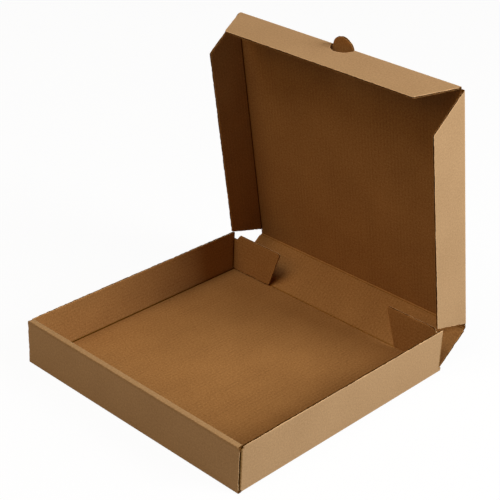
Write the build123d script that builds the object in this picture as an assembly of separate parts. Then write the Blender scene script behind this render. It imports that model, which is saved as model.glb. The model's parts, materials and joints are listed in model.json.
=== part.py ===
from build123d import *
from math import radians, tan
import os

# A pizza box folded from one blank of corrugated board, standing open on a table.
# Millimetres, +Z up, X across the box, the rolled front wall towards -Y.
# The origin is the middle of the base, on the table.

# Board
board = 1.6  # thickness of the corrugated board
inner_fold_radius = 0.4  # inside of a fold that stays folded
layer_gap = 0.2  # air between folded layers that lie together
crease_gap = 0.25  # air between the two panels of a crease that moves
corner_round = 2.0  # free corners of the flaps
overrun = 1.0  # how far a cut runs past what it cuts

# Tray
box_width = 240.0  # outside, across
box_depth = 240.0  # outside, front to rear
wall_height = 40.0  # table to rim
corner_flap_length = 38.0  # flap of a side wall inside the front wall
lock_tab_width = 30.0  # tab of the rolled front wall in the floor
lock_tab_spacing = 120.0  # middle to middle
lock_tab_gap = 0.3  # air round a tab in its slot

# Dust flaps at the rear ends of the side walls
dust_rear_gap = 0.4  # air to the rear wall when it stands upright
dust_floor_gap = 1.2  # air under the flap
dust_rim_gap = 1.4  # from the flap's top up to the rim
dust_top_length = 58.0  # along the top edge, from the crease
dust_foot_length = 46.0  # along the bottom edge, from the crease
dust_relief_depth = 5.4  # cut beside the crease where the lid's flap passes
dust_relief_width = 4.0  # level part of that cut
dust_relief_run = 4.0  # slant of that cut up to the top edge

# Rear wall and lid, between crease lines
lid_lift = 2.8  # closed lid above the rim, at the rear
lid_side_gap = 0.4  # closed lid's flaps to the side walls
lid_tuck_gap = 5.2  # closed lid's front flap to the rolled front wall
lid_corner_gap = 1.5  # ends of the flaps short of the lid's front corners
side_flap_floor_gap = 4.5  # closed lid's side flaps to the floor
side_flap_rear_start = 5.0  # rear end of the side flaps at their crease
side_flap_rear_cut = 18.0  # slant of their rear ends
side_flap_front_cut = 21.0  # slant of their front ends
front_flap_floor_gap = 6.0  # closed lid's front flap to the floor
front_flap_end_cut = 18.0  # slant of its ends
thumb_tab_width = 22.0  # half-moon in the middle of the lid's front crease
thumb_tab_reach = 10.0  # how far it stands past the crease
thumb_tab_gap = 0.4  # air round it in the front flap's notch

# Folds as the box stands, and the sharpest that each moving crease can take, in degrees
right_angle = 90.0
rear_wall_angle = 37.0
lid_angle = 63.7
front_flap_angle = 86.0
rear_wall_limit_angle = 90.0
lid_limit_angle = 92.0
lid_flap_limit_angle = 120.0
dust_flap_limit_angle = 135.0

# Sides of the box along X
LEFT, RIGHT = -1, 1

# Places that follow from the sizes
half = board / 2
layer_step = board + layer_gap
fold_radius = inner_fold_radius + half
fold_outer = inner_fold_radius + board
side_mid = box_width / 2 - half
front_mid = half - box_depth / 2
corner_flap_mid = front_mid + layer_step
inner_front_mid = corner_flap_mid + layer_step
rim_mid = wall_height - half
base_half = box_width / 2 - fold_outer
inner_half = box_width / 2 - layer_step
rear_axis_y = box_depth / 2 - half
dust_axis_y = rear_axis_y - board - dust_rear_gap
side_front_y = corner_flap_mid + fold_radius
rear_wall_height = wall_height + lid_lift
lid_half = inner_half + layer_gap - lid_side_gap - half
lid_length = rear_axis_y - inner_front_mid - board - lid_tuck_gap
side_flap_depth = rear_wall_height - half - side_flap_floor_gap
front_flap_depth = rear_wall_height - half - front_flap_floor_gap
dust_foot_z = board + dust_floor_gap
dust_top_z = wall_height - dust_rim_gap
dust_relief_z = dust_top_z - dust_relief_depth


def hinged(parent, place, direction, angle):
    """Plane of a panel on a crease of its parent: x along the crease, y across, z inwards."""
    origin = parent.from_local_coords(Vector(*place, 0))
    along = parent.x_dir * direction[0] + parent.y_dir * direction[1]
    flat = Plane(origin=origin, x_dir=along, z_dir=parent.z_dir)
    return Plane(flat.location * Rot(angle, 0, 0))


base_plane = Plane(origin=(0, 0, half), x_dir=(1, 0, 0), z_dir=(0, 0, 1))
rear_plane = hinged(base_plane, (0, rear_axis_y), (1, 0), rear_wall_angle)
lid_plane = hinged(rear_plane, (0, rear_wall_height), (1, 0), lid_angle)
front_flap_plane = hinged(lid_plane, (0, lid_length), (1, 0), front_flap_angle)
left_flap_plane = hinged(lid_plane, (-lid_half, 0), (0, 1), right_angle)
right_flap_plane = hinged(lid_plane, (lid_half, 0), (0, -1), right_angle)
left_wall_plane = hinged(base_plane, (-side_mid, 0), (0, 1), right_angle)
right_wall_plane = hinged(base_plane, (side_mid, 0), (0, -1), right_angle)
left_dust_plane = hinged(left_wall_plane, (dust_axis_y, 0), (0, -1), right_angle)
right_dust_plane = hinged(right_wall_plane, (-dust_axis_y, 0), (0, 1), right_angle)


def block(low, high):
    """Box between two opposite corners."""
    size = Vector(*high) - Vector(*low)
    middle = (Vector(*high) + Vector(*low)) / 2
    return Pos(middle) * Box(*size)


def strip(fold_line):
    """Section of the board along a folded line through its middle."""
    return trace(FilletPolyline(*fold_line, radius=fold_radius), line_width=board)


def panel(outline, radii):
    """Flat panel, its middle on the plane, with each corner rounded by its radius."""
    return extrude(make_face(FilletPolyline(*outline, radius=radii, close=True)), amount=half, both=True)


def along_crease(section, start, end):
    """Section run along a crease: its x points into the panel on the left, its y inwards."""
    along = Vector(*end) - Vector(*start)
    across = Plane(origin=Vector(*start), x_dir=(-along.Y, along.X, 0), z_dir=along)
    return extrude(across * section, amount=along.length)


def mitre(limit_angle):
    """Section taken off a panel's inner edge, so that it can fold as far as the limit."""
    top = half + overrun
    reach = crease_gap + top * tan(radians(limit_angle / 2))
    return make_face(Polyline((crease_gap, 0), (reach, top), (-top, top), (-top, 0), close=True))


def beaded(body, start, end, limit_angle):
    """Panel with the round edge of a crease, on which the next panel turns."""
    cut = body - along_crease(mitre(limit_angle), start, end)
    return cut + along_crease(Circle(half), start, end)


def seated(body, start, end, limit_angle):
    """Panel with the hollow edge of a crease, which turns round the bead."""
    cut = body - along_crease(mitre(limit_angle), start, end)
    return cut - along_crease(Circle(half + crease_gap), start, end)


def floor():
    """Base and the two side walls, with the slots for the locking tabs."""
    fold_line = [(-side_mid, wall_height), (-side_mid, half), (side_mid, half), (side_mid, wall_height)]
    section = Plane.XZ.offset(-dust_axis_y) * strip(fold_line)
    walls = extrude(section, amount=dust_axis_y - side_front_y)
    base = block((-base_half, fold_outer - box_depth / 2, 0), (base_half, rear_axis_y, board))
    rear_edge = ((base_half, rear_axis_y), (-base_half, rear_axis_y))
    creased = base_plane * beaded(base_plane.to_local_coords(base), *rear_edge, rear_wall_limit_angle)
    slot_half = lock_tab_width / 2 + lock_tab_gap
    slot_reach = half + lock_tab_gap
    slot = block(
        (-slot_half, inner_front_mid - slot_reach, -overrun),
        (slot_half, inner_front_mid + slot_reach, board + overrun),
    )
    return walls + creased - [Pos(x, 0, 0) * slot for x in lock_tab_places()]


def lock_tab_places():
    """Middles of the two locking tabs across the box."""
    return (-lock_tab_spacing / 2, lock_tab_spacing / 2)


def front_wall():
    """Front wall, rolled over the rim and down to the floor, with its locking tabs."""
    fold_line = [
        (fold_outer + layer_gap - box_depth / 2, half),
        (front_mid, half),
        (front_mid, rim_mid),
        (inner_front_mid, rim_mid),
        (inner_front_mid, layer_step),
    ]
    wall = extrude(Plane.YZ * strip(fold_line), amount=box_width / 2, both=True)
    end = block(
        (inner_half, corner_flap_mid - half, layer_step),
        (box_width / 2 + overrun, inner_front_mid + half + overrun, wall_height + overrun),
    )
    tab = block(
        (-lock_tab_width / 2, inner_front_mid - half, layer_gap),
        (lock_tab_width / 2, inner_front_mid + half, layer_step + board),
    )
    return wall - [end, mirror(end, about=Plane.YZ)] + [Pos(x, 0, 0) * tab for x in lock_tab_places()]


def corner_flap(side):
    """Flap of a side wall, folded in between the two layers of the front wall."""
    fold_line = [
        (side * side_mid, side_front_y + board),
        (side * side_mid, corner_flap_mid),
        (side * (side_mid - corner_flap_length), corner_flap_mid),
    ]
    section = Plane.XY.offset(layer_step) * strip(fold_line)
    return extrude(section, amount=wall_height - layer_step - layer_step)


def tray():
    """Base, rolled front wall, side walls and front corner flaps, folded from one sheet."""
    low = dust_foot_z - half - crease_gap
    high = dust_relief_z - half + crease_gap
    left_end = ((dust_axis_y, low), (dust_axis_y, high))
    right_end = ((-dust_axis_y, high), (-dust_axis_y, low))
    body = floor()
    for plane, end in ((left_wall_plane, left_end), (right_wall_plane, right_end)):
        body -= plane * along_crease(mitre(dust_flap_limit_angle), *end)
        body += plane * along_crease(Circle(half), *end)
    return body + front_wall() + corner_flap(LEFT) + corner_flap(RIGHT)


def rear_wall():
    """Rear wall between its creases with the base and the lid."""
    outline = [
        (-base_half, 0),
        (base_half, 0),
        (base_half, rear_wall_height),
        (-base_half, rear_wall_height),
    ]
    flat = panel(outline, 0)
    flat = seated(flat, outline[0], outline[1], rear_wall_limit_angle)
    return rear_plane * beaded(flat, outline[2], outline[3], lid_limit_angle)


def half_moon(width, reach):
    """Face of the thumb tab, standing past the lid's front crease."""
    left = (-width / 2, lid_length)
    right = (width / 2, lid_length)
    return make_face(Line(left, right) + ThreePointArc(right, (0, lid_length + reach), left))


def lid_panel():
    """Lid between its four creases, with the thumb tab that lifts out of the front flap."""
    outline = [(-lid_half, 0), (lid_half, 0), (lid_half, lid_length), (-lid_half, lid_length)]
    flat = panel(outline, [0, 0, lid_corner_gap, lid_corner_gap])
    flat = seated(flat, outline[0], outline[1], lid_limit_angle)
    tab_end = thumb_tab_width / 2
    flap_end = lid_half - lid_corner_gap
    side_end = lid_length - lid_corner_gap
    creases = [
        ((lid_half, side_flap_rear_start), (lid_half, side_end)),
        ((flap_end, lid_length), (tab_end, lid_length)),
        ((-tab_end, lid_length), (-flap_end, lid_length)),
        ((-lid_half, side_end), (-lid_half, side_flap_rear_start)),
    ]
    for start, end in creases:
        flat = beaded(flat, start, end, lid_flap_limit_angle)
    tab = extrude(half_moon(thumb_tab_width, thumb_tab_reach), amount=half, both=True)
    return lid_plane * (flat + tab)


def lid_front_flap():
    """Front flap of the lid, with the half-moon notch that the thumb tab leaves."""
    crease_end = lid_half - lid_corner_gap
    free_end = crease_end - front_flap_end_cut
    outline = [
        (-crease_end, 0),
        (crease_end, 0),
        (free_end, front_flap_depth),
        (-free_end, front_flap_depth),
    ]
    flat = panel(outline, [0, 0, corner_round, corner_round])
    flat = seated(flat, outline[0], outline[1], lid_flap_limit_angle)
    notch = half_moon(thumb_tab_width + thumb_tab_gap + thumb_tab_gap, thumb_tab_reach + thumb_tab_gap)
    cut = Pos(0, -lid_length, 0) * extrude(notch, amount=board, both=True)
    return front_flap_plane * (flat - cut)


def lid_side_flap(plane, side):
    """Side flap of the lid, its ends slanted to pass the tray's corners."""
    front_end = lid_length - lid_corner_gap
    rear_corner = (-side * side_flap_rear_start, 0)
    front_corner = (-side * front_end, 0)
    outline = [
        rear_corner,
        front_corner,
        (-side * (front_end - side_flap_front_cut), side_flap_depth),
        (-side * (side_flap_rear_start + side_flap_rear_cut), side_flap_depth),
    ]
    flat = panel(outline, [0, 0, corner_round, corner_round])
    start, end = sorted([rear_corner, front_corner])
    return plane * seated(flat, start, end, lid_flap_limit_angle)


def dust_flap(plane, side):
    """Flap of a side wall behind the food, cut low beside its crease."""
    foot = side * (dust_foot_z - half)
    top = side * (dust_top_z - half)
    relief = side * (dust_relief_z - half)
    outline = [
        (relief, 0),
        (foot, 0),
        (foot, dust_foot_length),
        (top, dust_top_length),
        (top, dust_relief_width + dust_relief_run),
        (relief, dust_relief_width),
    ]
    flat = panel(outline, [0, 0, corner_round, corner_round, corner_round, corner_round])
    start, end = sorted([(relief, 0), (foot, 0)])
    return plane * seated(flat, start, end, dust_flap_limit_angle)


pieces = {
    "tray": tray(),
    "rear_wall": rear_wall(),
    "lid_panel": lid_panel(),
    "lid_front_flap": lid_front_flap(),
    "lid_left_flap": lid_side_flap(left_flap_plane, LEFT),
    "lid_right_flap": lid_side_flap(right_flap_plane, RIGHT),
    "left_dust_flap": dust_flap(left_dust_plane, LEFT),
    "right_dust_flap": dust_flap(right_dust_plane, RIGHT),
}

os.makedirs("parts", exist_ok=True)
for name, piece in pieces.items():
    export_step(piece, f"parts/{name}.step")
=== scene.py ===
import json
import math

import bmesh
import bpy
from mathutils import Matrix, Vector, noise as chance


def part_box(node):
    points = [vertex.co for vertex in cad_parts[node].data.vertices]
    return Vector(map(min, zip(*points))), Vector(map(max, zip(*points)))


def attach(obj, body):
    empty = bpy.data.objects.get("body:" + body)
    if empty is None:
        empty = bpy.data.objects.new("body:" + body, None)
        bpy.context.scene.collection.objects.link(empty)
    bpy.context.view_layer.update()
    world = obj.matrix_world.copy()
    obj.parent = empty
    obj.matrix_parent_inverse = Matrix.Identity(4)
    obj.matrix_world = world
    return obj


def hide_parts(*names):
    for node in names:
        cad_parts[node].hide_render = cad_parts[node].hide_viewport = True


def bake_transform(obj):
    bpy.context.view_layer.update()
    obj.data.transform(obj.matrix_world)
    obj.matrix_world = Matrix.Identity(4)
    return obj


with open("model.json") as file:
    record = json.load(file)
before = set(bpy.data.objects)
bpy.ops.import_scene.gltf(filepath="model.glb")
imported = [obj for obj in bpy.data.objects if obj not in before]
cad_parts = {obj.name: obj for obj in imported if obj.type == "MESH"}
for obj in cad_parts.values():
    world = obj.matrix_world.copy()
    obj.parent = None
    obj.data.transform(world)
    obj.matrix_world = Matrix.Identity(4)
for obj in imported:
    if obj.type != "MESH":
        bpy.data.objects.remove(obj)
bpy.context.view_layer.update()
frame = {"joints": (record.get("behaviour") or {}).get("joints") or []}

# Sizes of the blank in metres: creases come from the frame, the rest is named here.
MM = 0.001
JOINT = {joint["name"]: Vector(joint["pos_m"]) for joint in frame["joints"]}
tray_low, tray_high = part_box("tray")
flap_low, flap_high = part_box("lid_left_flap")
BOARD = flap_high.x - flap_low.x
HALF = BOARD / 2
LAYER_GAP = 0.2 * MM
BOX_SIDE = tray_high.x
SIDE_CREASE = BOX_SIDE - HALF
FRONT_CREASE = tray_low.y + HALF
CORNER_CREASE = FRONT_CREASE + BOARD + LAYER_GAP
RIM_CREASE = FRONT_CREASE - (tray_high.z - BOARD)
ROLL_CREASE = RIM_CREASE - 2 * (BOARD + LAYER_GAP)
REAR_CREASE = JOINT["rear_wall_fold"].y
LID_CREASE = REAR_CREASE + (JOINT["lid_fold"] - JOINT["rear_wall_fold"]).length
FLAP_CREASE = LID_CREASE + (JOINT["lid_front_flap_fold"] - JOINT["lid_fold"]).length
LID_SIDE = JOINT["lid_right_flap_fold"].x
DUST_CREASE = JOINT["left_dust_flap_fold"].y

# Cut edges of the panels.
INNER_SIDE = BOX_SIDE - BOARD - LAYER_GAP
REAR_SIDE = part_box("rear_wall")[1].x
SIDE_FRONT_CUT = -116.05 * MM
CORNER_LOW = 1.8 * MM
CORNER_HIGH = 38.2 * MM
CORNER_LENGTH = 38 * MM
LOCK_PLACE = 60 * MM
LOCK_HALF = 15 * MM
LOCK_SLACK = 0.3 * MM
LOCK_FOOT = 0.2 * MM
ROLL_FOOT = BOARD + LAYER_GAP
DUST_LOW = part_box("left_dust_flap")[0].z
DUST_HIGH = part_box("left_dust_flap")[1].z
DUST_CREASE_TOP = 33.2 * MM
DUST_FOOT = 46 * MM
DUST_TOP = 58 * MM
RELIEF_FLAT = 4 * MM
RELIEF_RUN = 4 * MM
SIDE_FLAP_REAR = 5 * MM
SIDE_FLAP_REAR_CUT = 18 * MM
SIDE_FLAP_FRONT = 1.5 * MM
SIDE_FLAP_FRONT_CUT = 21 * MM
SIDE_FLAP_DEPTH = 37.5 * MM
FRONT_FLAP_DEPTH = 36 * MM
FRONT_FLAP_SIDE = LID_SIDE - SIDE_FLAP_FRONT
FRONT_FLAP_END_CUT = 18 * MM
TAB_HALF = 11 * MM
TAB_REACH = 10 * MM
TAB_SLACK = 0.4 * MM
CORNER_ROUND = 2 * MM

# The board: two liners and a fluted sheet between them.
LINER = 0.2 * MM
FLUTE_PAPER = 0.16 * MM
FLUTE_PITCH = 3.4 * MM
FLUTE_HEIGHT = BOARD - 2 * LINER - FLUTE_PAPER
FLUTE_STEPS = 12
FLUTE_SETBACK = 2.2 * MM
LINE_MARGIN = 0.2

# Cut edges: the liners are pinched towards each other and frayed back; their rims are toned paler as painted
# highlight, or darker as painted shade where the edge is of the dark fluting paper.
EDGE_STEP = 1.7 * MM
ON_LINE = 0.001 * MM
NEARLY_STRAIGHT = 1e-3
ROUND_STEPS = 4
ALONG_FLUTES = 3
PINCH_ACROSS = 0.16 * MM
PINCH_ALONG = 0.28 * MM
PINCH_REACH = 0.9 * MM
PINCH_WAVES = 90.0
PINCH_MEAN = 0.35
PINCH_SWING = 1.5
PINCH_LEAST = 0.05
LEAST_SPAN = 3 * PINCH_REACH
FRAY = 0.4
FRAY_WAVES = 430.0
FRAY_MEAN = 0.3
FRAY_SWING = 1.6
FRAY_DRAW = 0.4
SIDE_DRAW = 0.05
PAINTED_EDGE_HIGHLIGHT = 1.7
PAINTED_EDGE_SHADE = -1.5

# Creases: the tone and ripple of the outside bend (paler as wear on plain creases, darker as painted shade at
# the corner and dust creases), and the depth and tones of the slit inside.
CREASE_REACH = 2.6 * MM
CREASE_MIDWAY = CREASE_REACH / 2
BEND_STEPS = 6
RIPPLE = 0.12 * MM
RIPPLE_STEPS = 4
PRESSED_RIPPLE = 0.6
PLAIN_WEAR = (0.5, 0.5)
# Corner and dust creases darken the outside bend as painted shade in the gaps at the tray's front corners and
# at the walls' rear ends.
CORNER_SHADE = (-1.8, 2.0)
DUST_SHADE = (-1.2, 1.0)
# Slit, shoulder and groove tones darken the crease lines as painted shade; the paler ridge and groove lip are
# painted highlight.
DEEP_SLIT = (0.9 * MM, -2.9, -1.1)
FAINT_SLIT = (0.35 * MM, -1.3, -0.3)
SLIT_HALF = 0.4 * MM
SLIT_SHOULDER = 3 * SLIT_HALF
SLIT_LIP = 0.06 * MM
SLIT_LIP_TONE = -0.1
GROOVE = 0.3 * MM
GROOVE_PLACE = 1.0 * MM
GROOVE_HALF = 0.4 * MM
GROOVE_LIP = 0.02 * MM
GROOVE_TONE = -1.6
GROOVE_LIP_TONE = 0.6
RIDGE_SINK = 0.06 * MM
RIDGE_TONE = 0.8
SIDE_SLANTS = (-0.65, 0.0)
RIM_TAPER = (0.2, 0.9)
# The rolled rim's bends and the inside of the roll are darkened as painted shade.
RIM_TONE = -0.5
RIM_RIPPLE = 0.6
RIM_INSIDE_TONE = -1

# Paper: scale, detail, roughness and stretch of each noise, and how much each one shows.
CLOUD = (22, 3, 0.5)
MOTTLE = (640, 4, 0.65)
FIBRE = (950, 3, 0.7, (1, 2.2, 1))
FLECK = (620, 1, 0.5, (1, 2.4, 1))
FLECK_RANGE = (0.69, 0.76)
LINE_BREAKS = (70, 2, 0.5, (1, 0.2, 1))
LINE_BREAK_RANGE = (0.3, 0.7)
LINE_SHARPNESS = 2.0
NOISE_MIDDLE = 0.5
CLOUD_SHARE = 0.45
MOTTLE_SHARE = 1.7
FIBRE_SHARE = 1.1
FLECK_SHARE = -0.4
TONE_TO_VALUE = 0.28
TONE_TO_SATURATION = -0.1
FIBRE_HEIGHT = 0.6
MOTTLE_HEIGHT = 0.5
LINE_HEIGHT = -1.2
BUMP_STRENGTH = 0.5
BUMP_DEPTH = 0.08 * MM
SPECULAR = 0.03

rear_rise = JOINT["lid_fold"] - JOINT["rear_wall_fold"]
lid_rise = JOINT["lid_front_flap_fold"] - JOINT["lid_fold"]
REAR_ANGLE = math.atan2(rear_rise.z, rear_rise.y)
LID_ANGLE = math.atan2(lid_rise.z, lid_rise.y) - REAR_ANGLE
FRONT_FLAP_ANGLE = math.radians(86)
SQUARE = math.pi / 2

OUTER, INNER, FLUTE_AND_SHADE, CUT_AND_HIGHLIGHT = range(4)
SIDES = ((-1, "left"), (1, "right"))


def fold(parent, axis, line, angle):
    """Place of a panel beyond a crease line that runs along the blank's X or Y."""
    point = Vector((0, line, 0)) if axis == "X" else Vector((line, 0, 0))
    return parent @ Matrix.Translation(point) @ Matrix.Rotation(angle, 4, axis) @ Matrix.Translation(-point)


# Every panel's place is the motion that carries the flat blank to it, inner side up.
base_place = Matrix.Translation((0, 0, HALF))
front_place = fold(base_place, "X", FRONT_CREASE, -SQUARE)
rim_place = fold(front_place, "X", RIM_CREASE, -SQUARE)
roll_place = fold(rim_place, "X", ROLL_CREASE, -SQUARE)
rear_place = fold(base_place, "X", REAR_CREASE, REAR_ANGLE)
lid_place = fold(rear_place, "X", LID_CREASE, LID_ANGLE)
front_flap_place = fold(lid_place, "X", FLAP_CREASE, FRONT_FLAP_ANGLE)
wall_place = {side: fold(base_place, "Y", side * SIDE_CREASE, -side * SQUARE) for side in (-1, 1)}
corner_place = {side: fold(wall_place[side], "X", CORNER_CREASE, -SQUARE) for side in (-1, 1)}
dust_place = {side: fold(wall_place[side], "X", DUST_CREASE, SQUARE) for side in (-1, 1)}
side_flap_place = {side: fold(lid_place, "Y", side * LID_SIDE, -side * SQUARE) for side in (-1, 1)}


class Board:
    """Faces of one piece, with every corner's place on the flat blank and its tone: wear, painted shade and
    painted highlight.
    """

    def __init__(self):
        self.points, self.blank, self.tone, self.faces, self.papers = [], [], [], [], []

    def corner(self, place, x, y, height, tone=0.0):
        """Add a corner that lies at x, y on the blank, and give its number."""
        self.points.append(place @ Vector((x, y, height)))
        self.blank.append((x, y))
        self.tone.append(tone)
        return len(self.points) - 1

    def face(self, corners, paper):
        """Add a face of one of the papers."""
        self.faces.append(tuple(corners))
        self.papers.append(paper)

    def piece(self, name):
        """Make the piece as a mesh object of kraft board."""
        mesh = bpy.data.meshes.new(name)
        mesh.from_pydata(self.points, [], self.faces)
        for paper in PAPERS:
            mesh.materials.append(paper)
        mesh.polygons.foreach_set("material_index", self.papers)
        layer = mesh.uv_layers.new(name="blank")
        for loop in mesh.loops:
            layer.data[loop.index].uv = self.blank[loop.vertex_index]
        mesh.attributes.new("tone", "FLOAT", "POINT").data.foreach_set("value", self.tone)
        shape = bmesh.new()
        shape.from_mesh(mesh)
        bmesh.ops.recalc_face_normals(shape, faces=shape.faces)
        shape.to_mesh(mesh)
        shape.free()
        made = bpy.data.objects.new(name, mesh)
        bpy.context.scene.collection.objects.link(made)
        return made


def rounded(corners):
    """Outline from (x, y, radius) corners, anticlockwise."""
    outline = []
    count = len(corners)
    for i, (x, y, radius) in enumerate(corners):
        here = Vector((x, y))
        if not radius:
            outline.append(here)
            continue
        back = (Vector(corners[i - 1][:2]) - here).normalized()
        ahead = (Vector(corners[(i + 1) % count][:2]) - here).normalized()
        half_angle = back.angle(ahead) / 2
        middle = here + (back + ahead).normalized() * radius / math.sin(half_angle)
        reach = radius / math.tan(half_angle)
        first = here + back * reach - middle
        last = here + ahead * reach - middle
        for step in range(ROUND_STEPS + 1):
            turned = first.lerp(last, step / ROUND_STEPS).normalized() * radius
            outline.append(middle + turned)
    return outline


def mirrored(corners, side):
    """Corners of a right-hand panel, or the same panel on the left."""
    if side > 0:
        return corners
    return [(-x, *rest) for x, *rest in reversed(corners)]


def free_edges(outline, attached):
    """True for each edge of an outline that isn't held by a crease line."""
    free = []
    for i, here in enumerate(outline):
        after = outline[(i + 1) % len(outline)]
        held = False
        for axis, value in attached:
            index = "xy".index(axis)
            if abs(here[index] - value) < ON_LINE and abs(after[index] - value) < ON_LINE:
                held = True
        free.append(not held)
    return free


def stepped(outline, free):
    """Outline with its free edges cut into short steps."""
    points, flags = [], []
    for i, here in enumerate(outline):
        after = outline[(i + 1) % len(outline)]
        count = max(1, round((after - here).length / EDGE_STEP)) if free[i] else 1
        for k in range(count):
            points.append(here.lerp(after, k / count))
            flags.append(free[i])
    return points, flags


def inset(outline, free):
    """Outline moved inwards by the reach of the pinch along its free edges."""
    moved = []
    for i, here in enumerate(outline):
        back = PINCH_REACH if free[i - 1] else 0.0
        ahead = PINCH_REACH if free[i] else 0.0
        before = (here - outline[i - 1]).normalized()
        after = (outline[(i + 1) % len(outline)] - here).normalized()
        inward_before = Vector((-before.y, before.x))
        inward_after = Vector((-after.y, after.x))
        cross = inward_before.x * inward_after.y - inward_before.y * inward_after.x
        if abs(cross) < NEARLY_STRAIGHT:
            moved.append(here + inward_after * max(back, ahead))
        else:
            moved.append(here + Vector(((back * inward_after.y - ahead * inward_before.y) / cross,
                                        (ahead * inward_before.x - back * inward_after.x) / cross)))
    return moved


def uneven(point, draw, waves, mean, swing, least):
    """A share from least to 1 that wanders along an edge."""
    wander = chance.noise(Vector((point.x, point.y, draw)) * waves)
    return min(max(mean + swing * wander, least), 1.0)


def liner(board, place, outline, free, side, edge_paper):
    """One paper face of a panel, pinched and frayed along its cut edges: side is 1 inside, -1 outside."""
    outline, free = stepped(outline, free)
    inside = inset(outline, free)
    count = len(outline)
    # Painted highlight along pale cut edges, painted shade along edges of the dark fluting paper.
    rim_tone = PAINTED_EDGE_SHADE if edge_paper == FLUTE_AND_SHADE else PAINTED_EDGE_HIGHLIGHT
    pinches, edges = [], []
    for i, here in enumerate(outline):
        step = outline[(i + 1) % count] - here
        along = abs(step.y) > ALONG_FLUTES * abs(step.x)
        pinch = uneven(here, side * SIDE_DRAW, PINCH_WAVES, PINCH_MEAN, PINCH_SWING, PINCH_LEAST)
        pinches.append(pinch * (PINCH_ALONG if along else PINCH_ACROSS))
        fray = uneven(here, side * SIDE_DRAW + FRAY_DRAW, FRAY_WAVES, FRAY_MEAN, FRAY_SWING, 0.0)
        edges.append(here.lerp(inside[i], fray * FRAY))
    rims, cores = [], []
    for top in (True, False):
        level = side * (HALF if top else HALF - LINER)
        rim, core = [], []
        for i in range(count):
            core.append(board.corner(place, *inside[i], level))
            if free[i] or free[i - 1]:
                rim.append(board.corner(place, *edges[i], level - side * pinches[i], rim_tone))
            else:
                rim.append(core[-1])
        paper = FLUTE_AND_SHADE if not top else INNER if side > 0 else OUTER
        board.face(core, paper)
        for i in range(count):
            j = (i + 1) % count
            if free[i]:
                board.face((rim[i], rim[j], core[j], core[i]), paper)
        rims.append(rim)
        cores.append(core)
    for i in range(count):
        j = (i + 1) % count
        if free[i]:
            board.face((rims[0][i], rims[0][j], rims[1][j], rims[1][i]), edge_paper)
            continue
        board.face((cores[0][i], cores[0][j], cores[1][j], cores[1][i]), CUT_AND_HIGHLIGHT)
        if free[i - 1]:
            board.face((rims[0][i], cores[0][i], cores[1][i], rims[1][i]), CUT_AND_HIGHLIGHT)
        if free[j]:
            board.face((cores[0][j], rims[0][j], rims[1][j], cores[1][j]), CUT_AND_HIGHLIGHT)


def crossings(outline, free, x):
    """Where a line along the flutes enters and leaves an outline, with whether that edge is free."""
    found = []
    for i, here in enumerate(outline):
        after = outline[(i + 1) % len(outline)]
        if (here.x <= x) != (after.x <= x):
            share = (x - here.x) / (after.x - here.x)
            found.append((here.y + share * (after.y - here.y), free[i]))
    return sorted(found)


def maths(tree, operation, *values):
    """A maths node on sockets or numbers."""
    node = tree.nodes.new("ShaderNodeMath")
    node.operation = operation
    for slot, value in zip(node.inputs, values):
        if isinstance(value, (int, float)):
            slot.default_value = value
        else:
            tree.links.new(value, slot)
    return node.outputs[0]


def flute_tree():
    """Geometry nodes that bend a flat sheet into flutes along the blank's Y."""
    tree = bpy.data.node_groups.new("fluted_sheet", "GeometryNodeTree")
    for label, kind in (("Geometry", "Geometry"), ("Flute Pitch", "Float"), ("Flute Height", "Float"),
                        ("Paper", "Material")):
        tree.interface.new_socket(label, in_out="INPUT", socket_type="NodeSocket" + kind)
    tree.interface.new_socket("Geometry", in_out="OUTPUT", socket_type="NodeSocketGeometry")
    given = tree.nodes.new("NodeGroupInput")
    place = tree.nodes.new("GeometryNodeInputPosition")
    parts = tree.nodes.new("ShaderNodeSeparateXYZ")
    tree.links.new(place.outputs[0], parts.inputs[0])
    turns = maths(tree, "DIVIDE", parts.outputs["X"], given.outputs["Flute Pitch"])
    wave = maths(tree, "SINE", maths(tree, "MULTIPLY", turns, 2 * math.pi))
    swing = maths(tree, "MULTIPLY", given.outputs["Flute Height"], 0.5)
    pinch = tree.nodes.new("GeometryNodeInputNamedAttribute")
    pinch.data_type = "FLOAT"
    pinch.inputs["Name"].default_value = "pinch"
    swing = maths(tree, "MULTIPLY", swing, pinch.outputs["Attribute"])
    lift = tree.nodes.new("ShaderNodeCombineXYZ")
    tree.links.new(maths(tree, "MULTIPLY", wave, swing), lift.inputs["Z"])
    bent = tree.nodes.new("GeometryNodeSetPosition")
    tree.links.new(given.outputs["Geometry"], bent.inputs["Geometry"])
    tree.links.new(lift.outputs[0], bent.inputs["Offset"])
    real = tree.nodes.new("GeometryNodeRealizeInstances")
    tree.links.new(bent.outputs[0], real.inputs[0])
    papered = tree.nodes.new("GeometryNodeSetMaterial")
    tree.links.new(real.outputs[0], papered.inputs["Geometry"])
    tree.links.new(given.outputs["Paper"], papered.inputs["Material"])
    out = tree.nodes.new("NodeGroupOutput")
    tree.links.new(papered.outputs[0], out.inputs[0])
    return tree


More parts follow.
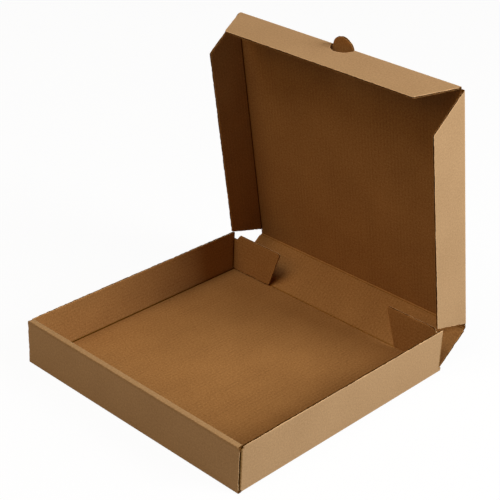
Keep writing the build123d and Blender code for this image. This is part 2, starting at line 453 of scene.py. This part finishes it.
def fluting(board, place, outline, free):
    """The fluted sheet of one panel, from edge to edge of its outline."""
    points, faces, pinches = [], [], []
    low = min(p.x for p in outline) + FLUTE_SETBACK
    high = max(p.x for p in outline) - FLUTE_SETBACK
    step = FLUTE_PITCH / FLUTE_STEPS
    first_line = math.ceil(low / step + LINE_MARGIN)
    last_line = math.floor(high / step - LINE_MARGIN)
    lines = [low, *(k * step for k in range(first_line, last_line + 1)), high]
    tight = 1 - 2 * PINCH_ACROSS / FLUTE_HEIGHT
    previous = []
    for x in lines:
        cuts = crossings(outline, free, x)
        spans = []
        for (y0, free0), (y1, free1) in zip(cuts[::2], cuts[1::2]):
            if y1 - y0 < LEAST_SPAN:
                continue
            span = []
            rows = ((y0, free0), (y0 + PINCH_REACH, False), (y1 - PINCH_REACH, False), (y1, free1))
            for y, squeeze in rows:
                span.append(len(points))
                points.append((x, y, 0.0))
                pinches.append(tight if squeeze else 1.0)
            spans.append(span)
        if len(spans) == len(previous):
            for a, b in zip(previous, spans):
                for k in range(len(a) - 1):
                    faces.append((a[k], b[k], b[k + 1], a[k + 1]))
        previous = spans
    mesh = bpy.data.meshes.new("flat_sheet")
    mesh.from_pydata(points, [], faces)
    mesh.attributes.new("pinch", "FLOAT", "POINT").data.foreach_set("value", pinches)
    sheet = bpy.data.objects.new("flat_sheet", mesh)
    bpy.context.scene.collection.objects.link(sheet)
    bend = sheet.modifiers.new("flutes", "NODES")
    bend.node_group = FLUTES
    items = FLUTES.interface.items_tree
    sockets = {item.name: item.identifier for item in items if item.in_out == "INPUT"}
    bend[sockets["Flute Pitch"]] = FLUTE_PITCH
    bend[sockets["Flute Height"]] = FLUTE_HEIGHT
    bend[sockets["Paper"]] = PAPERS[FLUTE_AND_SHADE]
    thick = sheet.modifiers.new("paper", "SOLIDIFY")
    thick.thickness = FLUTE_PAPER
    thick.offset = 0
    ready = sheet.evaluated_get(bpy.context.evaluated_depsgraph_get())
    baked = bpy.data.meshes.new_from_object(ready)
    first = len(board.points)
    for vertex in baked.vertices:
        board.corner(place, *vertex.co)
    for polygon in baked.polygons:
        board.face([first + v for v in polygon.vertices], FLUTE_AND_SHADE)
    bpy.data.objects.remove(sheet)
    bpy.data.meshes.remove(baked)


def panel(board, place, corners, attached=(), inner_edge=INNER):
    """A flat panel of the board: outer liner, fluted sheet and inner liner, up to its crease lines."""
    outline = rounded(corners)
    free = free_edges(outline, attached)
    liner(board, place, outline, free, -1, CUT_AND_HIGHLIGHT)
    liner(board, place, outline, free, 1, inner_edge)
    fluting(board, place, outline, free)


def strip(board, axis, section, start, end, start_slant=0.0, end_slant=0.0):
    """A crease: a closed section carried along it, with a ripple where it runs across the flutes."""
    across = axis == "X"
    length = end - start
    way = math.copysign(1, length)
    count = max(1, round(abs(length) / (FLUTE_PITCH / RIPPLE_STEPS))) if across else 1
    rows = []
    for k in range(count + 1):
        share = k / count
        row = []
        for place, offset, height, paper, tone, ripple, trim in section:
            along = start + length * share + way * trim * (start_slant * (1 - share) - end_slant * share)
            swell = math.sin(2 * math.pi * along / FLUTE_PITCH) if across else 0.0
            level = height - ripple * RIPPLE * (1 + swell) / 2 * math.copysign(1, height)
            x, y = (along, offset) if across else (offset, along)
            row.append(board.corner(place, x, y, level, tone))
        rows.append(row)
    size = len(section)
    for first, second in zip(rows, rows[1:]):
        for i in range(size):
            j = (i + 1) % size
            board.face((first[i], first[j], second[j], second[i]), section[i][3])
    board.face(rows[0][::-1], FLUTE_AND_SHADE)
    board.face(rows[-1], FLUTE_AND_SHADE)


def crease_section(parent, axis, line, angle, beyond, double, wear, slit):
    """Section of a crease: a rounded outer liner, and a slit or two pressed lines in the inner one."""
    child = fold(parent, axis, line, angle)
    half_turn = abs(angle) / 2
    corner = HALF * math.tan(half_turn)
    outer = [(parent, -CREASE_REACH, 0, 0), (parent, -CREASE_MIDWAY, 0, 0)]
    turns = [fold(parent, axis, line, angle * k / BEND_STEPS) for k in range(BEND_STEPS + 1)]
    # The outside bend's tone: paler as wear, darker as painted shade.
    outer += [(turn, 0.0, *wear) for turn in turns]
    outer += [(child, CREASE_MIDWAY, 0, 0), (child, CREASE_REACH, 0, 0)]
    section = []
    for place, offset, tone, ripple in outer:
        section.append((place, line + beyond * offset, -HALF, OUTER, tone, ripple, max(offset, 0)))
    # Tones in the slit and groove are painted shade, on the ridge and lip painted highlight.
    if double:
        groove = corner + GROOVE_PLACE
        pressed = ((CREASE_REACH, 0.0, 0.0), (groove + GROOVE_HALF, 0.0, 0.0), (groove, GROOVE, GROOVE_TONE),
                   (groove - GROOVE_HALF, GROOVE_LIP, GROOVE_LIP_TONE))
        sink, middle_tone = RIDGE_SINK, RIDGE_TONE
    else:
        sink, middle_tone, lip_tone = slit
        pressed = ((CREASE_REACH, 0.0, 0.0), (corner + SLIT_SHOULDER, 0.0, SLIT_LIP_TONE),
                   (corner + SLIT_HALF, SLIT_LIP, lip_tone))
    for offset, depth, tone in pressed:
        ripple = PRESSED_RIPPLE if depth else 0.0
        section.append((child, line + beyond * offset, HALF - depth, INNER, tone, ripple, offset))
    middle = fold(parent, axis, line, angle / 2)
    section.append((middle, line, HALF / math.cos(half_turn) - sink, INNER, middle_tone, 0.0, 0.0))
    for offset, depth, tone in reversed(pressed):
        ripple = PRESSED_RIPPLE if depth else 0.0
        section.append((parent, line - beyond * offset, HALF - depth, INNER, tone, ripple, 0.0))
    return section


def crease(board, parent, axis, line, angle, beyond, start, end, slants=(0.0, 0.0), double=False,
           wear=PLAIN_WEAR, slit=DEEP_SLIT):
    """A crease between two panels, from one end to the other, with slanted ends where a panel tapers."""
    section = crease_section(parent, axis, line, angle, beyond, double, wear, slit)
    strip(board, axis, section, start, end, *slants)


def moving_crease(name, bodies, parent, axis, line, angle, beyond, start, end, slants=(0.0, 0.0),
                  **look):
    """A crease between two jointed panels, made as a piece of its own in the pose given."""
    board = Board()
    crease(board, parent, axis, line, angle, beyond, start, end, slants, **look)
    made = board.piece(name)
    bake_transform(made)


def wall(z):
    """Distance on the blank of a height on a side wall."""
    return SIDE_CREASE + z - HALF


def half_moon(half_width, reach, above=0.0, steps=16):
    """Corners of an arc over the front crease, from the height at which it begins."""
    radius = (half_width ** 2 + reach ** 2) / (2 * reach)
    swing = math.acos((above + radius - reach) / radius)
    angles = [swing * (2 * k / steps - 1) for k in range(steps + 1)]
    return [(radius * math.sin(a), FLAP_CREASE + radius * math.cos(a) - radius + reach, 0) for a in angles]


def noise(tree, vector, scale, detail, roughness, stretch=(1, 1, 1)):
    """A noise value on the blank, stretched along it."""
    mapped = tree.nodes.new("ShaderNodeMapping")
    mapped.inputs["Scale"].default_value = stretch
    tree.links.new(vector, mapped.inputs["Vector"])
    texture = tree.nodes.new("ShaderNodeTexNoise")
    tree.links.new(mapped.outputs[0], texture.inputs["Vector"])
    texture.inputs["Scale"].default_value = scale
    texture.inputs["Detail"].default_value = detail
    texture.inputs["Roughness"].default_value = roughness
    return texture.outputs[0]


def ramp(tree, value, low, high, to_low=0.0, to_high=1.0):
    """A value carried from one range to another, and held at its ends."""
    node = tree.nodes.new("ShaderNodeMapRange")
    tree.links.new(value, node.inputs["Value"])
    node.inputs["From Min"].default_value = low
    node.inputs["From Max"].default_value = high
    node.inputs["To Min"].default_value = to_low
    node.inputs["To Max"].default_value = to_high
    return node.outputs[0]


def paper_tree():
    """Shader group of kraft paper: fibres, clouding, flecks, flute lines, and the tone of creases and cut
    edges: wear, painted shade and painted highlight.
    """
    tree = bpy.data.node_groups.new("kraft_paper", "ShaderNodeTree")
    for label, kind in (("Blank", "Vector"), ("Tone", "Float"), ("Pale", "Color"), ("Dark", "Color"),
                        ("Flute Lines", "Float")):
        tree.interface.new_socket(label, in_out="INPUT", socket_type="NodeSocket" + kind)
    tree.interface.new_socket("Color", in_out="OUTPUT", socket_type="NodeSocketColor")
    tree.interface.new_socket("Height", in_out="OUTPUT", socket_type="NodeSocketFloat")
    given = tree.nodes.new("NodeGroupInput")
    out = tree.nodes.new("NodeGroupOutput")
    blank = given.outputs["Blank"]
    cloud = noise(tree, blank, *CLOUD)
    mottle = noise(tree, blank, *MOTTLE)
    fibre = noise(tree, blank, *FIBRE)
    fleck = ramp(tree, noise(tree, blank, *FLECK), *FLECK_RANGE)
    amount = NOISE_MIDDLE
    for grain, share in ((cloud, CLOUD_SHARE), (mottle, MOTTLE_SHARE), (fibre, FIBRE_SHARE)):
        swing = maths(tree, "SUBTRACT", grain, NOISE_MIDDLE)
        amount = maths(tree, "MULTIPLY_ADD", swing, share, amount)
    amount = maths(tree, "MULTIPLY_ADD", fleck, FLECK_SHARE, amount)
    parts = tree.nodes.new("ShaderNodeSeparateXYZ")
    tree.links.new(blank, parts.inputs[0])
    turns = maths(tree, "MULTIPLY", parts.outputs["X"], 2 * math.pi / FLUTE_PITCH)
    crest = maths(tree, "MULTIPLY_ADD", maths(tree, "SINE", turns), 0.5, 0.5)
    broken = ramp(tree, noise(tree, blank, *LINE_BREAKS), *LINE_BREAK_RANGE)
    lines = maths(tree, "MULTIPLY", maths(tree, "POWER", crest, LINE_SHARPNESS), broken)
    lines = maths(tree, "MULTIPLY", lines, given.outputs["Flute Lines"])
    mixed = tree.nodes.new("ShaderNodeMix")
    mixed.data_type = "RGBA"
    tree.links.new(amount, mixed.inputs[0])
    tree.links.new(given.outputs["Dark"], mixed.inputs[6])
    tree.links.new(given.outputs["Pale"], mixed.inputs[7])
    # Tone darkens the colour as painted shade and pales it as painted highlight or wear; darker tones are
    # also made richer.
    level = maths(tree, "MULTIPLY_ADD", given.outputs["Tone"], TONE_TO_VALUE, 1.0)
    level = maths(tree, "SUBTRACT", level, lines)
    shaded = tree.nodes.new("ShaderNodeHueSaturation")
    tree.links.new(level, shaded.inputs["Value"])
    richer = maths(tree, "MULTIPLY_ADD", given.outputs["Tone"], TONE_TO_SATURATION, 1.0)
    tree.links.new(maths(tree, "MAXIMUM", richer, 1.0), shaded.inputs["Saturation"])
    tree.links.new(mixed.outputs[2], shaded.inputs["Color"])
    tree.links.new(shaded.outputs[0], out.inputs["Color"])
    height = maths(tree, "MULTIPLY", mottle, MOTTLE_HEIGHT)
    height = maths(tree, "MULTIPLY_ADD", fibre, FIBRE_HEIGHT, height)
    height = maths(tree, "MULTIPLY_ADD", lines, LINE_HEIGHT, height)
    tree.links.new(height, out.inputs["Height"])
    return tree


def paper(name, pale, dark, flute_lines, roughness):
    """A kraft paper material on the blank's own map."""
    material = bpy.data.materials.new(name)
    material.use_nodes = True
    tree = material.node_tree
    shader = tree.nodes["Principled BSDF"]
    shader.inputs["Roughness"].default_value = roughness
    shader.inputs["Specular IOR Level"].default_value = SPECULAR
    where = tree.nodes.new("ShaderNodeUVMap")
    where.uv_map = "blank"
    tone = tree.nodes.new("ShaderNodeAttribute")
    tone.attribute_name = "tone"
    group = tree.nodes.new("ShaderNodeGroup")
    group.node_tree = PAPER_GROUP
    group.inputs["Pale"].default_value = (*pale, 1)
    group.inputs["Dark"].default_value = (*dark, 1)
    group.inputs["Flute Lines"].default_value = flute_lines
    tree.links.new(where.outputs[0], group.inputs["Blank"])
    tree.links.new(tone.outputs["Fac"], group.inputs["Tone"])
    bump = tree.nodes.new("ShaderNodeBump")
    bump.inputs["Strength"].default_value = BUMP_STRENGTH
    bump.inputs["Distance"].default_value = BUMP_DEPTH
    tree.links.new(group.outputs["Height"], bump.inputs["Height"])
    tree.links.new(group.outputs["Color"], shader.inputs["Base Color"])
    tree.links.new(bump.outputs[0], shader.inputs["Normal"])
    return material


# Papers: pale and dark colour, strength of the flute lines and roughness.
PAPER_GROUP = paper_tree()
PAPERS = [
    paper("kraft_outer_liner", (0.58, 0.368, 0.188), (0.40, 0.24, 0.114), 0.02, 0.8),
    paper("kraft_inner_liner", (0.475, 0.24, 0.079), (0.235, 0.105, 0.031), 0.13, 0.85),
    # The fluting colour is also painted shade: dark enough to stand for the shade in cut edges, slits, gaps
    # and crease ends.
    paper("kraft_fluting_and_shade", (0.2, 0.092, 0.03), (0.11, 0.05, 0.017), 0.0, 0.9),
    # The cut edge colour is raw paper made paler as painted highlight along the edges.
    paper("kraft_cut_edge_and_highlight", (0.74, 0.5, 0.27), (0.58, 0.36, 0.17), 0.0, 0.9),
]
FLUTES = flute_tree()

# Tray: base, walls, rolled front wall and front corner flaps, folded from one sheet.
tray = Board()
reach = CREASE_REACH
base_front = FRONT_CREASE + reach
base_rear = REAR_CREASE - reach
base_side = SIDE_CREASE - reach
slot_back = tray_low.y + 2 * (BOARD + LAYER_GAP) + BOARD + LOCK_SLACK
slot_half = LOCK_HALF + LOCK_SLACK
base_corners = [(-base_side, base_front, 0)]
for middle in (-LOCK_PLACE, LOCK_PLACE):
    base_corners += [(middle - slot_half, base_front, 0), (middle - slot_half, slot_back, 0),
                     (middle + slot_half, slot_back, 0), (middle + slot_half, base_front, 0)]
base_corners += [(base_side, base_front, 0), (base_side, base_rear, 0), (-base_side, base_rear, 0)]
panel(tray, base_place, base_corners,
      [("x", -base_side), ("x", base_side), ("y", base_front), ("y", base_rear)])
crease(tray, base_place, "X", FRONT_CREASE, -SQUARE, -1, -BOX_SIDE, BOX_SIDE)

front_low = FRONT_CREASE - reach
front_high = RIM_CREASE + reach
# The front wall's inner liner ends in the dark fluting paper: painted shade in the gap at the tray's front
# corners.
panel(tray, front_place, [(-BOX_SIDE, front_high, 0), (BOX_SIDE, front_high, 0), (BOX_SIDE, front_low, 0),
                          (-BOX_SIDE, front_low, 0)], [("y", front_low), ("y", front_high)], FLUTE_AND_SHADE)
roll_high = ROLL_CREASE - reach
roll_low = ROLL_CREASE - (tray_high.z - HALF - ROLL_FOOT)
tab_low = ROLL_CREASE - (tray_high.z - HALF - LOCK_FOOT)
roll_corners = [(-INNER_SIDE, roll_low, 0)]
for middle in (-LOCK_PLACE, LOCK_PLACE):
    roll_corners += [(middle - LOCK_HALF, roll_low, 0), (middle - LOCK_HALF, tab_low, 0),
                     (middle + LOCK_HALF, tab_low, 0), (middle + LOCK_HALF, roll_low, 0)]
roll_corners += [(INNER_SIDE, roll_low, 0), (INNER_SIDE, roll_high, 0), (-INNER_SIDE, roll_high, 0)]
panel(tray, roll_place, roll_corners, [("y", roll_high)])


def rim_section():
    """Section of the rolled rim, up the outer layer, over the top and down the inner layer."""
    narrow = BOX_SIDE - INNER_SIDE
    section = [(front_place, RIM_CREASE + reach, -HALF, OUTER, 0, 0, 0)]
    bends = ((front_place, RIM_CREASE, RIM_TAPER), (rim_place, ROLL_CREASE, (1, 1)))
    for parent, line, (least, most) in bends:
        for k in range(BEND_STEPS + 1):
            trim = narrow * (least + (most - least) * k / BEND_STEPS)
            turn = fold(parent, "X", line, -SQUARE * k / BEND_STEPS)
            section.append((turn, line, -HALF, OUTER, RIM_TONE, RIM_RIPPLE, trim))
    section.append((roll_place, ROLL_CREASE - reach, -HALF, OUTER, 0, 0, narrow))
    section.append((roll_place, ROLL_CREASE - reach, HALF, INNER, 0, 0, narrow))
    section.append((roll_place, ROLL_CREASE - HALF, HALF, INNER, RIM_INSIDE_TONE, 0, narrow))
    section.append((front_place, RIM_CREASE + HALF, HALF, INNER, RIM_INSIDE_TONE, 0, 0))
    section.append((front_place, RIM_CREASE + reach, HALF, INNER, 0, 0, 0))
    return section


strip(tray, "X", rim_section(), -BOX_SIDE, BOX_SIDE, 1, 1)
for side in (-1, 1):
    wall_low = SIDE_CREASE + reach
    wall_top = wall(tray_high.z)
    bend_low = CORNER_CREASE + reach
    bend_high = DUST_CREASE - reach
    crease(tray, base_place, "Y", side * SIDE_CREASE, -side * SQUARE, side, SIDE_FRONT_CUT,
           REAR_CREASE + HALF / 2, SIDE_SLANTS)
    wall_corners = [
        (wall_low, bend_low, 0), (wall(CORNER_HIGH), bend_low, 0), (wall(CORNER_HIGH), SIDE_FRONT_CUT, 0),
        (wall_top, SIDE_FRONT_CUT, CORNER_ROUND / 2), (wall_top, DUST_CREASE, CORNER_ROUND / 2),
        (wall(DUST_CREASE_TOP), DUST_CREASE, 0), (wall(DUST_CREASE_TOP), bend_high, 0),
        (wall_low, bend_high, 0),
    ]
    # The left wall's inner cut edge is pale cut paper and the right wall's is dark fluting paper: painted
    # highlight on the left wall's edge, painted shade on the right wall's.
    panel(tray, wall_place[side], mirrored(wall_corners, side),
          [("x", side * wall_low), ("y", bend_low), ("y", bend_high)], CUT_AND_HIGHLIGHT if side < 0 else FLUTE_AND_SHADE)
    crease(tray, wall_place[side], "X", CORNER_CREASE, -SQUARE, -1, side * wall_low,
           side * wall(CORNER_HIGH), wear=CORNER_SHADE)
    flap_near = CORNER_CREASE - reach
    flap_far = CORNER_CREASE - CORNER_LENGTH
    corner_corners = [(wall(CORNER_LOW), flap_far, 0), (wall(CORNER_HIGH), flap_far, 0),
                      (wall(CORNER_HIGH), flap_near, 0), (wall(CORNER_LOW), flap_near, 0)]
    panel(tray, corner_place[side], mirrored(corner_corners, side), [("y", flap_near)])
tray_piece = tray.piece("tray_board")
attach(tray_piece, "tray")
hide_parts("tray")

# Rear wall and lid.
rear_low = REAR_CREASE + reach
rear_high = LID_CREASE - reach
rear = Board()
panel(rear, rear_place, [(-REAR_SIDE, rear_low, 0), (REAR_SIDE, rear_low, 0), (REAR_SIDE, rear_high, 0),
                         (-REAR_SIDE, rear_high, 0)], [("y", rear_low), ("y", rear_high)])
rear_piece = rear.piece("rear_wall_board")
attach(rear_piece, "rear_wall")
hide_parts("rear_wall")
moving_crease("rear_wall_crease", ("tray", "rear_wall"), base_place, "X", REAR_CREASE, REAR_ANGLE, 1,
              -base_side, base_side, slit=FAINT_SLIT)
moving_crease("lid_crease", ("rear_wall", "lid_panel"), rear_place, "X", LID_CREASE, LID_ANGLE, 1,
              -LID_SIDE, LID_SIDE, double=True)

lid_low = LID_CREASE + reach
lid_high = FLAP_CREASE - reach
lid_edge = LID_SIDE - reach
side_start = LID_CREASE + SIDE_FLAP_REAR
tab = half_moon(TAB_HALF, TAB_REACH)
tab_root = TAB_HALF + TAB_SLACK
lid_corners = [(-LID_SIDE, lid_low, 0), (LID_SIDE, lid_low, 0), (LID_SIDE, side_start, 0),
               (lid_edge, side_start, 0), (lid_edge, lid_high, 0), (tab_root, lid_high, 0),
               (tab_root, FLAP_CREASE, 0)]
lid_corners += tab[::-1]
lid_corners += [(-tab_root, FLAP_CREASE, 0), (-tab_root, lid_high, 0), (-lid_edge, lid_high, 0),
                (-lid_edge, side_start, 0), (-LID_SIDE, side_start, 0)]
lid = Board()
panel(lid, lid_place, lid_corners,
      [("x", -lid_edge), ("x", lid_edge), ("x", -tab_root), ("x", tab_root), ("y", lid_low), ("y", lid_high)])
lid_piece = lid.piece("lid_board")
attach(lid_piece, "lid_panel")
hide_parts("lid_panel")

# Lid flaps.
front_flap = Board()
flap_low_line = FLAP_CREASE + reach
flap_high_line = FLAP_CREASE + FRONT_FLAP_DEPTH
slant = FRONT_FLAP_END_CUT / FRONT_FLAP_DEPTH
near_side = FRONT_FLAP_SIDE - slant * reach
far_side = FRONT_FLAP_SIDE - FRONT_FLAP_END_CUT
notch = half_moon(tab_root, TAB_REACH + TAB_SLACK, reach)
flap_corners = [(-near_side, flap_low_line, 0), *notch,
                (near_side, flap_low_line, 0), (far_side, flap_high_line, CORNER_ROUND),
                (-far_side, flap_high_line, CORNER_ROUND)]
panel(front_flap, front_flap_place, flap_corners, [("y", flap_low_line)])
front_flap_piece = front_flap.piece("lid_front_flap_board")
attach(front_flap_piece, "lid_front_flap")
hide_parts("lid_front_flap")
for side, name in SIDES:
    moving_crease(f"lid_front_crease_{name}", ("lid_panel", "lid_front_flap"), lid_place, "X", FLAP_CREASE,
                  FRONT_FLAP_ANGLE, 1, side * tab_root, side * lid_edge)
for side, name in SIDES:
    flap = Board()
    near = LID_SIDE + reach
    far = LID_SIDE + SIDE_FLAP_DEPTH
    share = reach / SIDE_FLAP_DEPTH
    front_end = FLAP_CREASE - SIDE_FLAP_FRONT
    corners = [(near, side_start + share * SIDE_FLAP_REAR_CUT, 0),
               (far, side_start + SIDE_FLAP_REAR_CUT, CORNER_ROUND),
               (far, front_end - SIDE_FLAP_FRONT_CUT, CORNER_ROUND),
               (near, front_end - share * SIDE_FLAP_FRONT_CUT, 0)]
    panel(flap, side_flap_place[side], mirrored(corners, side), [("x", side * near)])
    body = f"lid_{name}_flap"
    flap_piece = flap.piece(body + "_board")
    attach(flap_piece, body)
    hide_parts(body)
    moving_crease(f"lid_{name}_crease", ("lid_panel", body), lid_place, "Y", side * LID_SIDE,
                  -side * SQUARE, side, side_start, front_end,
                  (SIDE_FLAP_REAR_CUT / SIDE_FLAP_DEPTH, SIDE_FLAP_FRONT_CUT / SIDE_FLAP_DEPTH))

# Dust flaps at the rear ends of the side walls.
for side, name in SIDES:
    dust = Board()
    near = DUST_CREASE + reach
    corners = [(wall(DUST_LOW), near, 0), (wall(DUST_CREASE_TOP), near, 0),
               (wall(DUST_CREASE_TOP), DUST_CREASE + RELIEF_FLAT, 0),
               (wall(DUST_HIGH), DUST_CREASE + RELIEF_FLAT + RELIEF_RUN, CORNER_ROUND),
               (wall(DUST_HIGH), DUST_CREASE + DUST_TOP, CORNER_ROUND),
               (wall(DUST_LOW), DUST_CREASE + DUST_FOOT, CORNER_ROUND)]
    panel(dust, dust_place[side], mirrored(corners, side), [("y", near)])
    body = f"{name}_dust_flap"
    dust_piece = dust.piece(body + "_board")
    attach(dust_piece, body)
    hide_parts(body)
    moving_crease(f"{name}_dust_crease", ("tray", body), wall_place[side], "X", DUST_CREASE, SQUARE, 1,
                  side * (SIDE_CREASE + reach), side * wall(DUST_CREASE_TOP), wear=DUST_SHADE)


# Floor, light and camera.
FLOOR_HALF = 10.0
FLOOR_DROP = 0.05 * MM
FLOOR_SEEN = 0.95
FLOOR_SPREAD = 0.29
LAMP_AIM = Vector((0, 0, 0.1))
SKY_TINT = (1.0, 0.64, 0.34, 1)
SKY_WHITE = (1, 1, 1, 1)
SKY_STRENGTH = 0.045
CAMERA_PLACE = (0.65911, -0.69646, 0.61209)
CAMERA_TURN = (62.294, -2.0404, 44.0306)
CAMERA_LENS = 98.82
CAMERA_SENSOR = 36
CAMERA_NEAR = 0.05


def stage_material(name, seen, spread):
    """White for the camera with the object's shadow kept, plain diffuse for every other ray."""
    material = bpy.data.materials.new(name)
    material.use_nodes = True
    tree = material.node_tree
    tree.nodes.clear()
    path = tree.nodes.new("ShaderNodeLightPath")
    matt = tree.nodes.new("ShaderNodeBsdfDiffuse")
    shade = ramp(tree, path.outputs["Is Camera Ray"], 0, 1, spread, 1 - seen)
    tree.links.new(shade, matt.inputs["Color"])
    glow = tree.nodes.new("ShaderNodeEmission")
    tree.links.new(maths(tree, "MULTIPLY", path.outputs["Is Camera Ray"], seen), glow.inputs["Strength"])
    both = tree.nodes.new("ShaderNodeAddShader")
    tree.links.new(matt.outputs[0], both.inputs[0])
    tree.links.new(glow.outputs[0], both.inputs[1])
    out = tree.nodes.new("ShaderNodeOutputMaterial")
    tree.links.new(both.outputs[0], out.inputs["Surface"])
    return material


floor_mesh = bpy.data.meshes.new("floor")
floor_corners = [(x * FLOOR_HALF, y * FLOOR_HALF, -FLOOR_DROP)
                 for x, y in ((-1, -1), (1, -1), (1, 1), (-1, 1))]
floor_mesh.from_pydata(floor_corners, [], [(0, 1, 2, 3)])
floor = bpy.data.objects.new("floor", floor_mesh)
bpy.context.scene.collection.objects.link(floor)
floor_mesh.materials.append(stage_material("white_floor", FLOOR_SEEN, FLOOR_SPREAD))


def area_light(name, azimuth, elevation, distance, size, power, colour):
    """A soft square light that looks at the box."""
    light = bpy.data.lights.new(name, "AREA")
    light.energy = power
    light.color = colour
    light.size = size
    lamp = bpy.data.objects.new(name, light)
    bpy.context.scene.collection.objects.link(lamp)
    turn, rise = math.radians(azimuth), math.radians(elevation)
    aim = Vector((math.cos(rise) * math.cos(turn), math.cos(rise) * math.sin(turn), math.sin(rise)))
    lamp.location = aim * distance + LAMP_AIM
    lamp.rotation_euler = aim.to_track_quat("Z", "Y").to_euler()


# Lamps: azimuth and elevation in degrees, distance and size in metres, power in watts, colour.
area_light("key_light", 22, 27, 1.6, 0.8, 24.5, (0.985, 1.0, 1.03))
area_light("front_light", -98, 46, 2.0, 1.5, 12, (1.0, 0.71, 0.39))
area_light("top_light", -96, 66, 2.0, 1.0, 12.2, (0.95, 0.99, 1.03))

world = bpy.data.worlds.new("studio")
bpy.context.scene.world = world
world.use_nodes = True
sky = world.node_tree
sky.nodes.clear()
path = sky.nodes.new("ShaderNodeLightPath")
seen = path.outputs["Is Camera Ray"]
glow = sky.nodes.new("ShaderNodeBackground")
tint = sky.nodes.new("ShaderNodeMix")
tint.data_type = "RGBA"
tint.inputs[6].default_value = SKY_TINT
tint.inputs[7].default_value = SKY_WHITE
sky.links.new(seen, tint.inputs[0])
sky.links.new(tint.outputs[2], glow.inputs["Color"])
sky.links.new(ramp(sky, seen, 0, 1, SKY_STRENGTH, 1.0), glow.inputs["Strength"])
sky_out = sky.nodes.new("ShaderNodeOutputWorld")
sky.links.new(glow.outputs[0], sky_out.inputs["Surface"])

camera_data = bpy.data.cameras.new("photo_camera")
camera_data.sensor_width = CAMERA_SENSOR
camera_data.lens = CAMERA_LENS
camera_data.clip_start = CAMERA_NEAR
camera = bpy.data.objects.new("photo_camera", camera_data)
camera.location = CAMERA_PLACE
camera.rotation_euler = [math.radians(turn) for turn in CAMERA_TURN]
bpy.context.scene.collection.objects.link(camera)
bpy.context.scene.camera = camera
bpy.context.scene.view_settings.view_transform = "Standard"
